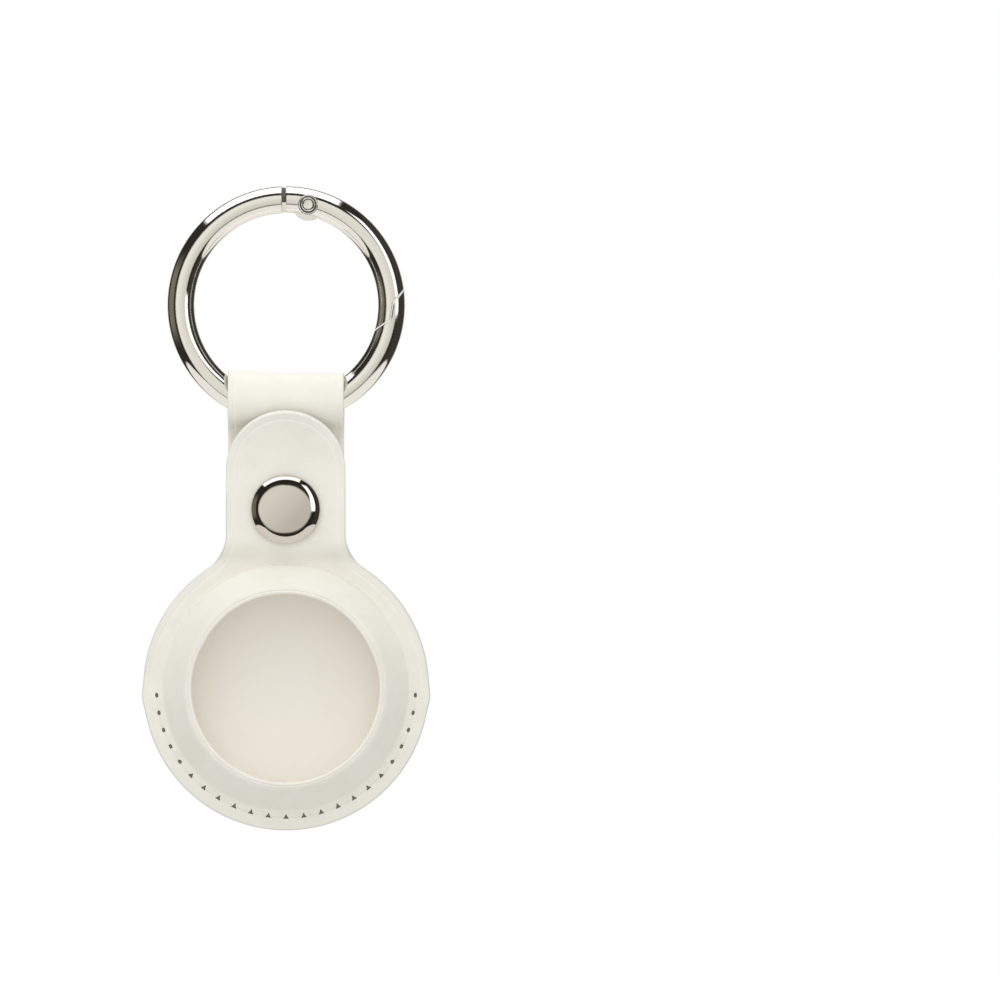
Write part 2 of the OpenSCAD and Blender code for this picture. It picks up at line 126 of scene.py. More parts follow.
# Flap
flap_lean = math.radians(3.5)
neck_start = 18.1
neck_angle = math.radians(38.5)
neck_r = 3.1
curl_start = snap_rise + cap_r - 0.9
tip_r = 25
tip_height = loop_z - disc_z - 1.6
path_length = 46
bend_low = -2.5
bend_high = 6

# Loop round the ring
loop_r = 3.996
loop_sag = 0.4
sag_from = -strap_w / 2
sag_full = -strap_w / 8
hollow_r = 3.45
hollow_y = mid_depth + hollow_r
hollow_drop = math.sqrt((loop_r + hollow_r) ** 2 - hollow_y ** 2)
hollow_turn = math.atan2(hollow_drop, hollow_y)
hollow_run = hollow_r * hollow_turn
loop_run = loop_r * (math.pi + 2 * hollow_turn)
strap_top = loop_z - disc_z - hollow_drop
fold_end = snap_rise - 7
strap_length = 2 * strap_top - fold_end + 2 * hollow_run + loop_run

# Creases pressed along the edges, and the painted highlight, paler leather that stands for
# light on them and on the tab's tip edge
crease_w = 0.14
crease_fade = 1.5
crease_highlight_w = 0.22
front_crease = 0.055
front_crease_in = 1.11
front_crease_highlight = 0.7
tip_crease = 0.05
tip_crease_in = 0.5
tip_edge_in = 0.12
tip_edge_w = 0.12
tip_edge_highlight = 1.6
back_crease = 0.06
back_crease_in = 0.95
back_crease_w = 0.13
back_crease_highlight = 0.5

# Cut edges, which are greyer, but less so above the snap, where the grey is taken back as
# painted light on edges that face up
cut_from = 0.02
cut_to = 0.26
cut_lit_fade = 0.8
cut_lit_run = 4

# Stitches and their holes
stitches = 22
stitch_r = disc_r - 1.95
stitch_first = math.radians(3.4)
hole_in = 0.23
hole_along = 0.36
hole_corner = 0.22
corners_from = 0.45
corners_full = 0.8
dimple_depth = 0.1
dimple_w = 0.42
dimple_reach = 1.6
dimple_top = 1
ridge_share = 0.35
ridge_r = 0.95
ridge_w = 0.4

# Thread: its runs on the two faces by side, lift and radius, and the plugs in the holes
thread_runs = ((-1, -0.03, 0.11), (1, 0.05, 0.15))
thread_start = 0.08
thread_dip = 0.55
dip_power = 9
thread_shade_from = 0.06
thread_shade_full = 0.22
plug_r = 0.52
plug_end = 0.62

# Holes for the snap
snap_hole_r = 1.25
flap_hole_lift = 0.19

# Mesh of the flat sheets: steps along the outline, rows within it, a grid inside them and
# collars round the holes, with the room that each leaves the next
join_steps = 220
edge_step = 0.34
edge_rows = [0.05, 0.12, 0.2, 0.29, 0.5, 0.72, 0.86, 0.95, 1.03, 1.11, 1.19, 1.28, 1.42, 1.7, 2.1]
front_grid = 0.8
back_grid = 0.9
grid_row = 0.866
grid_reach = 22
grid_top = 84
collars = (0.04, 0.16)
row_kept = 0.985
grid_kept = 0.5
join_clear = 0.25
hole_clear = 0.3
join_kept = 0.9995
at_join = 0.02
at_hole = 0.01
weld = 0.004


def smooth(value, low=0.0, high=1.0):
    t = min(max((value - low) / (high - low), 0), 1)
    return t * t * (3 - 2 * t)


def bell(value, middle, width):
    return math.exp(-((value - middle) / width) ** 2)


def arc(centre, radius, start, end, steps):
    angles = np.radians(np.linspace(start, end, steps + 1))
    return [(centre[0] + radius * math.cos(a), centre[1] + radius * math.sin(a)) for a in angles]


def resample(points, step, closed=False):
    line = np.array(points + points[:1] if closed else points, float)
    length = np.concatenate([[0], np.cumsum(np.hypot(*np.diff(line, axis=0).T))])
    count = max(int(round(length[-1] / step)), 1)
    at = np.linspace(0, length[-1], count + 1)
    found = np.stack([np.interp(at, length, line[:, k]) for k in range(2)], 1)
    return found[:-1] if closed else found


def eased(points, width):
    """The same line with its corners softened and its two ends kept."""
    step = 0.1
    line = resample([tuple(p) for p in points], step)
    half = int(width / step / 2)
    kernel = np.hanning(2 * half + 3)[1:-1]
    kernel /= kernel.sum()
    wide = [np.pad(line[:, k], half, mode="reflect", reflect_type="odd") for k in range(2)]
    return list(zip(*(np.convolve(w, kernel, "valid") for w in wide)))


def bridge(bm, rings):
    """Walls from ring to ring, with both ends closed."""
    sides = len(rings[0])
    for low, high in zip(rings, rings[1:]):
        for i in range(sides):
            m = (i + 1) % sides
            bm.faces.new([low[i], low[m], high[m], high[i]])
    bm.faces.new(list(reversed(rings[0])))
    bm.faces.new(rings[-1])


def finished(bm, name, smoothed=True, sharp_from=None):
    """The object, in the scene, that a mesh in the making becomes."""
    bmesh.ops.recalc_face_normals(bm, faces=bm.faces)
    mesh = bpy.data.meshes.new(name)
    bm.to_mesh(mesh)
    bm.free()
    if smoothed:
        mesh.shade_smooth()
    if sharp_from:
        mesh.set_sharp_from_angle(angle=math.radians(sharp_from))
    obj = bpy.data.objects.new(name, mesh)
    bpy.context.scene.collection.objects.link(obj)
    return obj


# Where the leathers lie
def side_path():
    """The middle of the front leather seen from the side: its heights, how far forward it
    is there, and its heading, which is eased where it changes."""
    step = 0.05
    soft = 21
    first = (neck_r - leather_t / 2) * neck_angle
    second = (neck_r + leather_t / 2) * (neck_angle + flap_lean)
    corners = [0, neck_start, neck_start + first, neck_start + first + second,
               curl_start, curl_start + (tip_r - leather_t / 2)]
    headings = [0, 0, neck_angle, -flap_lean, -flap_lean, 1 - flap_lean]
    heading = np.interp(np.arange(0, path_length, step), corners, headings)
    heading = np.pad(heading, soft // 2, mode="edge")
    heading = np.convolve(heading, np.ones(soft) / soft, "valid")
    forward = mid_depth + np.cumsum(np.sin(heading)) * step
    height = np.cumsum(np.cos(heading)) * step
    return height, forward, heading


path_height, path_forward, path_heading = side_path()


def leaned(x, forward, height):
    """A point of the front leather once it leans forward, from the ends of the stitching up."""
    angle = flap_lean * smooth(height, bend_low, bend_high)
    y = -forward * math.cos(angle) - height * math.sin(angle)
    z = height * math.cos(angle) - forward * math.sin(angle)
    return Vector((x, y, disc_z + z)) * MM


def flap_place(x, height, depth):
    """A point of the front leather, at a depth in front of its middle."""
    forward = np.interp(height, path_height, path_forward)
    heading = np.interp(height, path_height, path_heading)
    return leaned(x, forward + depth * math.cos(heading), height - depth * math.sin(heading))


def strap_place(x, length, depth):
    """A point of the back leather, at a depth behind its middle or outside its loop."""
    s = length - strap_top
    left = 2 * hollow_run + loop_run - s
    sag = 0
    if s <= 0:
        y, z, ny, nz = mid_depth, length, 1, 0
    elif left < 0:
        y, z, ny, nz = -mid_depth, strap_top + left, -1, 0
    elif min(s, left) <= hollow_run:
        side = 1 if s <= hollow_run else -1
        a = min(s, left) / hollow_r
        y = side * (hollow_y - hollow_r * math.cos(a))
        z = strap_top + hollow_r * math.sin(a)
        ny, nz = side * math.cos(a), -math.sin(a)
    else:
        a = (s - hollow_run) / loop_r - hollow_turn
        ny, nz = math.cos(a), math.sin(a)
        y, z = loop_r * ny, loop_z - disc_z + loop_r * nz
        sag = loop_sag * max(nz, 0) * smooth(x, sag_from, sag_full)
    return Vector((x, y + depth * ny, disc_z + z + depth * nz - sag)) * MM


def in_front(x, z, depth):
    """A point of the front pocket, drawn up a little at its top, where the neck pulls it."""
    radius = math.hypot(x, z)
    pull = smooth(z / radius, pull_from, 1) * smooth(radius, join_r, wall_r)
    grow = 1 + pull * (pull_flat + pull_wall * bell(radius, wall_r, pull_w)) / radius
    return flap_place(x * grow, z * grow, depth - leather_t / 2)


def behind(x, z, depth):
    """A point of the back pocket."""
    return Vector((x, half_gap + depth, disc_z + z)) * MM


# Outlines, anticlockwise as seen from the front
def disc_with_neck(width, top):
    """The disc, a little wider at the ends of the stitching, and the sides up to the top."""
    half = width / 2
    x = half + neck_fillet
    z = math.sqrt((disc_r + neck_fillet) ** 2 - x ** 2)
    low = math.degrees(math.atan2(z, x))
    rim = []
    for px, pz in arc((0, 0), disc_r, -180 - low, low, 200):
        if abs(px) > disc_r / 2:
            px += math.copysign(corner_out, px) * bell(pz, corner_z, corner_w)
        rim.append((px, pz))
    right = arc((x, z), neck_fillet, 180 + low, 180, 20)
    left = [(-px, pz) for px, pz in reversed(right)]
    return rim[1:-1] + right + top + left


def tab_outline():
    """The front leather laid flat. Its length is settled until the leaning tip is in place."""
    end = tab_w / 2
    tip = tip_height
    for _ in range(8):
        forward = np.interp(tip, path_height, path_forward)
        tip = (tip_height + forward * math.sin(flap_lean)) / math.cos(flap_lean)
    return disc_with_neck(tab_w, arc((0, tip - end), end, 0, 180, 60))


def strap_outline():
    """The back leather laid flat."""
    half = strap_w / 2
    return disc_with_neck(strap_w, [(half, strap_length), (-half, strap_length)])


def stitch_places():
    pitch = (math.pi - 2 * stitch_first) / stitches
    for i in range(stitches + 1):
        a = -stitch_first - pitch * i
        yield a, stitch_r * math.cos(a), stitch_r * math.sin(a)


places = list(stitch_places())


def needle_hole(a, x, z):
    """A hole as the needle left it: an oval at the sides, three-cornered at the bottom."""
    low = smooth(-z / stitch_r, corners_from, corners_full)
    t = np.linspace(0, 2 * math.pi, 12, endpoint=False)
    corner = (t + math.pi / 3) % (2 * math.pi / 3) - math.pi / 3
    three = hole_corner / np.cos(math.pi / 3 - abs(corner))
    inward = ((1 - low) * hole_in + low * three) * np.cos(t)
    along = ((1 - low) * hole_along + low * three) * np.sin(t)
    out = np.array([math.cos(a), math.sin(a)])
    side = np.array([-out[1], out[0]])
    return np.outer(along, side) - np.outer(inward, out) + (x, z)


def snap_hole(height):
    t = np.linspace(0, 2 * math.pi, 20, endpoint=False)
    return np.stack([-snap_hole_r * np.sin(t), height + snap_hole_r * np.cos(t)], 1)


# The flat sheets
def edge_distance(points, loop):
    a, b = loop, np.roll(loop, -1, 0)
    d = b - a
    out = np.empty(len(points))
    for k in range(0, len(points), 500):
        p = points[k:k + 500, None, :]
        t = np.clip(((p - a) * d).sum(2) / (d ** 2).sum(1), 0, 1)
        out[k:k + 500] = np.sqrt((((p - a) - t[..., None] * d) ** 2).sum(2)).min(1)
    return out


def inside(points, loop):
    x, z = points[:, 0, None], points[:, 1, None]
    a, b = loop, np.roll(loop, -1, 0)
    crosses = (a[:, 1] > z) != (b[:, 1] > z)
    with np.errstate(divide="ignore", invalid="ignore"):
        at = a[:, 0] + (z - a[:, 1]) * (b[:, 0] - a[:, 0]) / (b[:, 1] - a[:, 1])
    return (crosses & (x < at)).sum(1) % 2 == 1


def sheet_points(loop, holes, grid):
    """Points to mesh through: rows along the outline, a grid within, collars round holes."""
    step = np.roll(loop, -1, 0) - np.roll(loop, 1, 0)
    normal = np.stack([-step[:, 1], step[:, 0]], 1) / np.hypot(*step.T)[:, None]
    keep = []
    for row in edge_rows:
        points = loop + normal * row
        keep.append(points[edge_distance(points, loop) > row * row_kept])
    x, z = np.meshgrid(np.arange(-grid_reach, grid_reach, grid),
                       np.arange(-grid_reach, grid_top, grid * grid_row))
    x[::2] += grid / 2
    points = np.stack([x.ravel(), z.ravel()], 1)
    points = points[inside(points, loop)]
    keep.append(points[edge_distance(points, loop) > edge_rows[-1] + grid * grid_kept])
    rows = np.concatenate(keep)
    rows = rows[np.hypot(*rows.T) > join_r + join_clear]
    for hole in holes:
        centre = hole.mean(0)
        reach = np.hypot(*(hole - centre).T).max()
        rows = rows[np.hypot(*(rows - centre).T) > reach + hole_clear]
        around = [centre + (hole - centre) * (1 + wide / reach) for wide in collars]
        rows = np.concatenate([rows] + around)
    return rows


def flat_mesh(outline, holes, grid):
    """Triangles of a flat sheet between its outline, the pocket's circle and its holes, with
    each point's distance from the outline and whether it is on a hole."""
    loop = resample(outline, edge_step, closed=True)
    join = np.array(arc((0, 0), join_r, 0, 360, join_steps)[:-1])
    loops = [loop, join] + holes
    points = np.concatenate(loops + [sheet_points(loop, holes, grid)])
    edges, at = [], 0
    for ring in loops:
        edges += [(at + k, at + (k + 1) % len(ring)) for k in range(len(ring))]
        at += len(ring)
    found = delaunay_2d_cdt([Vector(p) for p in points], edges, [], 0, 1e-5)
    points = np.array([tuple(p) for p in found[0]])
    faces = np.array(found[2])
    middle = points[faces].mean(1)
    good = inside(middle, loop) & (np.hypot(*middle.T) > join_r * join_kept)
    painted_hole_shade = np.zeros(len(points))
    for hole in holes:
        good &= ~inside(middle, hole)
        painted_hole_shade[edge_distance(points, hole) < at_hole] = 1
    return points, faces[good], edge_distance(points, loop), painted_hole_shade


# The leathers
def half_thickness(distance):
    """Half the leather's thickness, less where its edge is rounded."""
    if distance >= edge_r:
        return leather_t / 2
    inner = edge_r - distance
    return leather_t / 2 - edge_r + math.sqrt(max(edge_r ** 2 - inner ** 2, 0))


def turned_skin(bm, profile, place, layers):
    """A pocket's skin, turned from rows of radius, depth and the values for the layers."""
    rings = []
    for radius, depth, *values in profile:
        ring = []
        for k in range(join_steps if radius > 0 else 1):
            a = 2 * math.pi * k / join_steps
            v = bm.verts.new(place(radius * math.cos(a), radius * math.sin(a), depth))
            for layer, value in zip(layers, values):
                v[layer] = value
            ring.append(v)
        rings.append(ring)
    for low, high in zip(rings, rings[1:]):
        for k in range(join_steps):
            m = (k + 1) % join_steps
            if len(high) == 1:
                bm.faces.new([low[k], low[m], high[0]])
            else:
                bm.faces.new([low[k], low[m], high[m], high[k]])


def leather_piece(name, flat, place, pocket_place, profiles, relief, highlight_at):
    """One closed leather: the flat sheet's two skins, its cut edges and the pressed pocket."""
    points, faces, distance, painted_hole_shade = flat
    bm = bmesh.new()
    edge = bm.verts.layers.float.new("cut_edge_and_lit_fade")
    painted_highlight = bm.verts.layers.float.new("painted_highlight")
    # Painted shade at the edges of the needle and snap holes
    dark = bm.verts.layers.float.new("painted_hole_shade")
    # The lining's faces, which the material paints paler as light that its hollow would shade
    lining = bm.verts.layers.float.new("lining")
    skins = []
    for side in (1, -1):
        verts = []
        for (x, z), e, hole in zip(points, distance, painted_hole_shade):
            depth = half_thickness(e) - relief(x, z, e, side)
            # Painted light: above the snap the grey of the cut edges is taken back, as they face up
            # into the light
            lit_fade = 1 - cut_lit_fade * smooth(z, snap_rise, snap_rise + cut_lit_run)
            v = bm.verts.new(place(x, z, side * depth))
            v[edge] = (1 - smooth(e, cut_from, cut_to)) * lit_fade
            v[painted_highlight] = highlight_at(x, z, e, side)
            v[dark] = hole
            verts.append(v)
        skins.append(verts)
    count = {}
    for a, b, c in faces:
        for i, j in ((a, b), (b, c), (c, a)):
            count[(i, j)] = count.get((i, j), 0) + 1
        bm.faces.new([skins[0][k] for k in (a, b, c)])
        bm.faces.new([skins[1][k] for k in (c, b, a)])
    for i, j in count:
        if (j, i) in count:
            continue
        middle = (points[i] + points[j]) / 2
        if abs(math.hypot(*middle) - join_r) < at_join:
            continue
        bm.faces.new([skins[0][i], skins[1][i], skins[1][j], skins[0][j]])
    for profile in profiles:
        turned_skin(bm, profile, pocket_place, (edge, painted_highlight, lining))
    bmesh.ops.remove_doubles(bm, verts=bm.verts, dist=weld * MM)
    return finished(bm, name, sharp_from=60)


def front_profile():
    """The front pocket: an even slope up to the window, and its lining one leather below."""
    foot, shoulder, crown = wall_r + front_foot, window_r + front_shoulder, window_r + front_crown
    run, rise = foot - shoulder, front_depth - front_drop - leather_t
    shift = leather_t * math.hypot(run, rise) / rise
    line = eased([(join_r + join_run, leather_t), (foot, leather_t),
                  (shoulder, front_depth - front_drop), (crown, front_depth),
                  (window_r, front_depth - lip_drop)], front_softness)
    radii, depths = np.array(line).T[:, ::-1]
    near = lip_groove_r + 4 * lip_groove_w
    spots = [r for r, _ in line if near < r < join_r - join_margin]
    spots += list(np.linspace(near, window_r + window_round, 30))
    skin = [(join_r, leather_t, 0, 0, 0)]
    for r in spots:
        depth = np.interp(r, radii, depths) - lip_groove * bell(r, lip_groove_r, lip_groove_w)
        # The fourth value is the painted highlight along the window's lip
        skin.append((r, depth, 0, lip_highlight * smooth(lip_groove_r - r, 0, lip_groove_w), 0))
    top = skin[-1][1]
    low = top - leather_t
    edge = arc((window_r + window_round, top - window_round), window_round, 90, 180, 5)[1:]
    edge += arc((window_r + window_round, low + window_round), window_round, 180, 270, 5)

    def slope_under(depth):
        return foot - (depth - leather_t) * run / rise - shift

    inner_top = front_depth - leather_t
    inner = eased([(window_r + 2 * window_round, low), (slope_under(inner_top), inner_top),
                   (slope_under(0), 0), (join_r + join_run, 0)], front_softness)
    edge += [p for p in inner if p[0] < join_r - join_margin]
    return skin + [(r, d, 0, 0, 1) for r, d in edge] + [(join_r, 0, 0, 0, 0)]


def back_profiles():
    """The back pocket: a pressed wall up to its flat back, and a lining with a shallow bowl."""
    top = plateau - half_gap
    line = eased([(join_r + join_run, leather_t), (wall_r + back_foot + back_slope / 4, leather_t),
                  (wall_r + back_slope / 3, leather_t + back_foot),
                  (wall_r - back_slope, top - back_shoulder),
                  (back_crown + back_shoulder_run, top), (window_r, top)], back_softness)
    outer = [(join_r, leather_t)]
    outer += [p for p in line if join_r - join_margin > p[0] > back_crown]
    outer += [(r, top) for r in np.linspace(outer[-1][0], 0, 16)[1:]]
    floor = top - leather_t - bowl
    inner = [(join_r, 0)] + [(pocket_r + wider, depth) for wider, depth in pocket_mouth]
    inner += arc((back_crown, floor - floor_round), floor_round, 0, 90, 12)
    inner += [(r, floor + bowl * (1 - (r / back_crown) ** 2))
              for r in np.linspace(back_crown, 0, 16)[1:]]
    return [(r, d, 0, 0, 0) for r, d in outer], [(r, d, 0, 0, r < join_r) for r, d in inner]


def stitch_dimple(x, z):
    """How far the leather is drawn in at a stitch hole, and lifted beside it."""
    if z > dimple_top or abs(math.hypot(x, z) - stitch_r) > dimple_reach:
        return 0
    near = min(math.hypot(x - px, z - pz) for _, px, pz in places)
    return dimple_depth * (bell(near, 0, dimple_w) - ridge_share * bell(near, ridge_r, ridge_w))


def above_stitches(z):
    return smooth(z, -crease_fade, crease_fade)


def at_tip(z):
    return smooth(z, tip_height - tab_w / 2, tip_height - tab_w / 4)


def front_relief(x, z, e, side):
    """How deep the outer face is pressed at a point, at a distance e from the cut edge."""
    if side < 0:
        return 0
    crease = front_crease * bell(e, front_crease_in, crease_w) * above_stitches(z)
    crease += tip_crease * bell(e, tip_crease_in, crease_w) * at_tip(z)
    return crease + stitch_dimple(x, z)


# Painted highlight: paler leather along the crease and the tab's tip edge, where light falls on them
def front_highlight(x, z, e, side):
    if side < 0:
        return 0
    crease = front_crease_highlight * bell(e, front_crease_in, crease_highlight_w) * above_stitches(z)
    return crease + tip_edge_highlight * bell(e, tip_edge_in, tip_edge_w) * at_tip(z)


def back_relief(x, z, e, side):
    """The same for the back leather."""
    if side < 0:
        return 0
    crease = back_crease * bell(e, back_crease_in, back_crease_w) * above_stitches(z)
    return crease + stitch_dimple(x, z)


# Painted highlight: paler leather along the back's crease, where light falls on it
def back_highlight(x, z, e, side):
    if side < 0:
        return 0
    return back_crease_highlight * bell(e, back_crease_in, crease_highlight_w) * above_stitches(z)


needle_holes = [needle_hole(*p) for p in places]
flap_hole = snap_hole(snap_rise + flap_hole_lift)
post_hole = snap_hole(snap_rise)
fold_hole = snap_hole(strap_length - (snap_rise - fold_end))
front_flat = flat_mesh(tab_outline(), needle_holes + [flap_hole], front_grid)
back_flat = flat_mesh(strap_outline(), needle_holes + [post_hole, fold_hole], back_grid)
front = leather_piece("Front_leather", front_flat, flap_place, in_front,
                      [front_profile()], front_relief, front_highlight)
back = leather_piece("Back_leather", back_flat, strap_place, behind,
                     back_profiles(), back_relief, back_highlight)
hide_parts("front_panel", "flap_bend", "front_flap")
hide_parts("back_panel")
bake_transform(front)
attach(back, "holder")


# Thread: one curved stitch from hole to hole on each face, and a plug in each hole, both
# painted dark as shade where they go into the leather
def tube(bm, points, radius, sides=8):
    rings = []
    for k, point in enumerate(points):
        ahead = (points[min(k + 1, len(points) - 1)] - points[max(k - 1, 0)]).normalized()
        across = ahead.cross(Vector((0, 1, 0)))
        if across.length < 0.01:
            across = Vector((1, 0, 0))
        across.normalize()
        up = across.cross(ahead)
        turns = [2 * math.pi * i / sides for i in range(sides)]
        rings.append([bm.verts.new(point + radius * (math.cos(t) * across + math.sin(t) * up))
                      for t in turns])
    bridge(bm, rings)


def thread_piece():
    bm = bmesh.new()
    dive_shade = bm.verts.layers.float.new("painted_hole_shade")

    def run(path, radius):
        first = len(bm.verts)
        tube(bm, [Vector((x, y, disc_z + z)) * MM for x, y, z in path], radius * MM)
        bm.verts.ensure_lookup_table()
        for v in bm.verts[first:]:
            # Painted shade, growing as the thread goes into the leather
            v[dive_shade] = smooth(skin_y - abs(v.co.y) / MM, thread_shade_from, thread_shade_full)

    for (a, *_), (b, *_) in zip(places, places[1:]):
        for side, lift, radius in thread_runs:
            path = []
            for t in np.linspace(0, 1, 21):
                turn = a + (b - a) * (thread_start + (1 - 2 * thread_start) * t)
                rise = skin_y + lift - thread_dip * abs(2 * t - 1) ** dip_power
                path.append((stitch_r * math.cos(turn), side * rise, stitch_r * math.sin(turn)))
            run(path, radius)
    for _, x, z in places:
        run([(x, y, z) for y in np.linspace(-plug_end, plug_end, 5)], plug_r)
    return finished(bm, "Thread")


thread = thread_piece()
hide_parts("stitching")
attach(thread, "holder")


# Turned metal: the caps' shallow domes with their rolled edges, and the tubular rivet
dome_r = 11
dome_end = math.radians(21)
roll_r = 2.5
roll_end = math.radians(50)
rim_steps = [(0.05, -0.08), (0.07, -0.2)]
rim_lift = 0.04
post_r = 1.2


def turned_piece(name, centre, out, profile, body, node, shaded_rows=(), steps=96):
    """A closed profile of radius and height, turned about a line along Y. The listed bands,
    counted along the profile, take the second material, a dark metal that paints shade."""
    bm = bmesh.new()
    rings = []
    for radius, height in profile:
        count = steps if radius > 0 else 1
        rings.append([
            bm.verts.new(Vector((
                centre.x + radius * math.cos(2 * math.pi * k / steps),
                centre.y + out * height,
                centre.z + radius * math.sin(2 * math.pi * k / steps),
            )) * MM) for k in range(count)
        ])
    for row, (low, high) in enumerate(zip(rings, rings[1:])):
        for k in range(steps):
            m = (k + 1) % steps
            corners = [low[k % len(low)], low[m % len(low)], high[m % len(high)], high[k % len(high)]]
            face = bm.faces.new(list(dict.fromkeys(corners)))
            face.material_index = int(row in shaded_rows)
    obj = finished(bm, name, sharp_from=40)
    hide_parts(node)
    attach(obj, body)
    return obj


def cap_profile(height, post_end):
    """A shallow dome, its rolled edge and its upright rim, on a post that ends below them."""
    line = [(dome_r * math.sin(a), height - dome_r * (1 - math.cos(a)))
            for a in np.linspace(0, dome_end, 22)]
    far, low = line[-1]
    line += [(far + roll_r * (math.sin(a) - math.sin(dome_end)),
              low - roll_r * (math.cos(dome_end) - math.cos(a)))
             for a in np.linspace(dome_end, roll_end, 16)[1:]]
    rim, low = line[-1]
    line += [(rim + wider, low + up) for wider, up in rim_steps]
    widest = line[-1][0]
    line += [(widest, rim_lift), (rim, 0)]
    scale = cap_r / widest
    line = [(r * scale, h) for r, h in line]
    return line + [(post_r, 0), (post_r, -post_end), (0, -post_end)]


cap_mid = (cap_low + cap_high) / 2
snap_mid = (snap_low + snap_high) / 2
cap_height = snap_high.y - skin_y
front_base = cap_low.y + cap_height
front_cap = turned_piece(
    "Front_cap", Vector((cap_mid.x, front_base, cap_mid.z)), -1,
    cap_profile(cap_height, cap_high.y - front_base), "flap", "front_cap")
back_cap = turned_piece(
    "Back_cap", Vector((snap_mid.x, skin_y, snap_mid.z)), 1,
    cap_profile(cap_height, skin_y - snap_low.y), "holder", "back_cap")

# The rivet's radius and height above its back: the bore's floor, the rolled lip, the outer
# ring, the shank and the flush end, as drawn. The frame's box gives the real size.
rivet_profile = [
    (0, 3.98), (0.66, 3.94), (0.72, 3.97), (0.82, 4.2), (0.86, 4.27), (0.93, 4.3),
    (0.99, 4.28), (1.03, 4.2), (1.07, 4.0), (1.18, 3.98), (1.22, 4.08), (1.27, 4.13),
    (1.34, 4.13), (1.39, 4.08), (1.47, 3.92), (1.47, 3.8), (1.35, 3.78),
    (1.35, 3.6), (0.8, 3.6), (0.8, 0.35), (1.35, 0.35),
    (1.35, 0.06), (1.3, 0.01), (1.0, 0), (0, 0),
]
# Bands painted dark as shade: inside the rolled lip, the sunken ring and the outline
rivet_shaded_rows = (2, 3, 7, 8, 9, 13, 14)
rivet_drawn_r = 1.35
rivet_drawn_h = 4.3
rivet_mid = (rivet_low + rivet_high) / 2
rivet_r = (rivet_high.x - rivet_low.x) / 2
rivet_stretch = (rivet_high.y - rivet_low.y) / rivet_drawn_h
rivet = turned_piece(
    "Hinge_rivet", Vector((rivet_mid.x, rivet_high.y, rivet_mid.z)), -1,
    [(r * rivet_r / rivet_drawn_r, h * rivet_stretch) for r, h in rivet_profile], "gate",
    "hinge_rivet", rivet_shaded_rows)

# Thin plates on the ring, whose middle is at ring_z. Both are dark, as painted shade in its gaps
ring_z = ring_low.z + ring_r
wire_d = 4
hook_angles = [7.8, 1.6, -8, -15.6]
hook_shares = [1, 0.555, 0.49, 0]
latch_shift = 0.1
latch_row = 0.2
latch_w = 0.03
latch_step_w = 0.13
latch_share = 0.96
latch_step_share = 0.045
latch_step_low = (-8.2, -6.8)
latch_step_high = (-1.4, 0)
latch_thin = 0.002
crown_far = 0.64
crown_near = 0.1
crown_low = 1.7
crown_high = 0.22
crown_half = 0.95
crown_bevel = 0.07
crown_fall = 0.04


def plate_piece(name, rings):
    bm = bmesh.new()
    bridge(bm, [[bm.verts.new(Vector(point) * MM) for point in ring] for ring in rings])
    obj = finished(bm, name, smoothed=False)
    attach(obj, "ring")
    return obj


def latch_shade_plate():
    """A dark plate of painted shade on the fixed hook, which closes the view through the latch's gap.
    It follows the hook's corners, given by angle and share of the wire, and is wider at its step."""
    inner_r = ring_r - wire_d
    middle = inner_r + wire_d / 2
    line = []
    for angle, share in zip(hook_angles, hook_shares):
        r = inner_r + wire_d * share
        a = math.radians(angle)
        line.append((r * math.cos(a) + latch_shift, r * math.sin(a) - latch_shift))
    rings = []
    for x, z in resample(line, latch_row):
        turn = math.degrees(math.atan2(z, x))
        step = smooth(turn, *latch_step_low) * smooth(-turn, *latch_step_high)
        wide = latch_w + latch_step_w * step
        share = latch_share + latch_step_share * step
        ring = []
        for dx, side in ((0, -1), (wide, -1), (wide, 1), (0, 1)):
            off = (math.hypot(x + dx, z - dx) - middle) / (wire_d / 2)
            reach = wire_d / 2 * math.sqrt(max(1 - off ** 2, latch_thin)) * share
            ring.append((x + dx, side * reach, z + ring_z - dx))
        rings.append(ring)
    return plate_piece("Latch_shade_plate", rings)


def tongue_crown():
    """The crown of the tongue, which fills the split behind the gate's tail, in a dark metal that
    paints the split's shade.
    """
    far, near = gate_tail - crown_far, gate_tail - crown_near
    low, high = ring_z + ring_r - crown_low, ring_z + ring_r - crown_high
    flat = crown_half - crown_bevel
    rings = []
    for y, trim in ((-crown_half, crown_bevel), (-flat, 0), (flat, 0), (crown_half, crown_bevel)):
        rings.append([(far, y, low), (near, y, low),
                      (near, y, high - trim - crown_fall), (far, y, high - trim)])
    return plate_piece("Tongue_crown", rings)


latch = latch_shade_plate()
crown = tongue_crown()


# Materials
def add(tree, kind, inputs=None, **settings):
    made = tree.nodes.new("ShaderNode" + kind)
    for key, value in settings.items():
        setattr(made, key, value)
    for key, value in (inputs or {}).items():
        if isinstance(value, bpy.types.NodeSocket):
            tree.links.new(value, made.inputs[key])
        else:
            made.inputs[key].default_value = value
    return made


def calc(tree, operation, *values):
    return add(tree, "Math", dict(enumerate(values)), operation=operation).outputs[0]


def between(tree, value, low, high):
    made = add(tree, "MapRange", {"Value": value, "From Min": low, "From Max": high},
               interpolation_type="SMOOTHSTEP")
    return made.outputs["Result"]


def mix(tree, amount, first, second):
    made = tree.nodes.new("ShaderNodeMix")
    made.data_type = "RGBA"
    colours = [s for s in made.inputs if s.type == "RGBA"]
    for slot, value in ((made.inputs[0], amount), (colours[0], first), (colours[1], second)):
        if isinstance(value, bpy.types.NodeSocket):
            tree.links.new(value, slot)
        else:
            slot.default_value = value
    return [s for s in made.outputs if s.type == "RGBA"][0]


def attribute(tree, name):
    return add(tree, "Attribute", attribute_name=name).outputs["Fac"]


